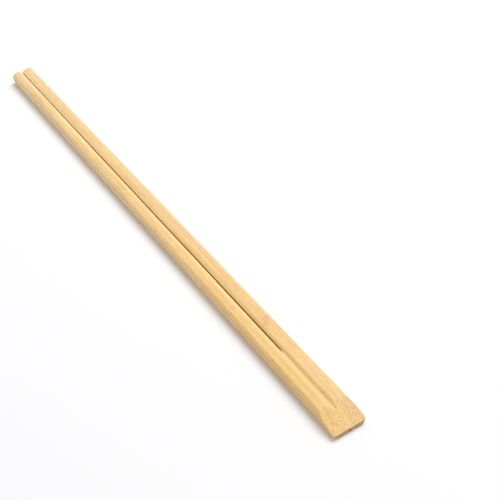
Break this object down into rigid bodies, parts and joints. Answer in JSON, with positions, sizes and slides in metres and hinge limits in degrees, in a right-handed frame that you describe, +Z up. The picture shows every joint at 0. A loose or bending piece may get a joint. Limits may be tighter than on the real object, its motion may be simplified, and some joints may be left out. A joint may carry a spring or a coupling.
{
  "type": "pair of joined bamboo chopsticks",
  "caption": "Disposable bamboo chopsticks cut from one slat: round-sided sticks that taper to the tips, a saw kerf between them, joined at a head with a slanting cut.",
  "frame": {"origin": "on the resting face, half way along the pair and on its centre line", "axes": "+X from the joined head towards the tips, +Y across the pair, +Z up, away from the resting face"},
  "size_m": [0.24, 0.0136, 0.005],
  "materials": {
    "bamboo": "planed bamboo, matt, with fine lengthwise fibres and dotted bundle ends on the cut faces"
  },
  "bodies": {
    "root": {"chopstick_pair": "bamboo"}
  },
  "joints": []
}
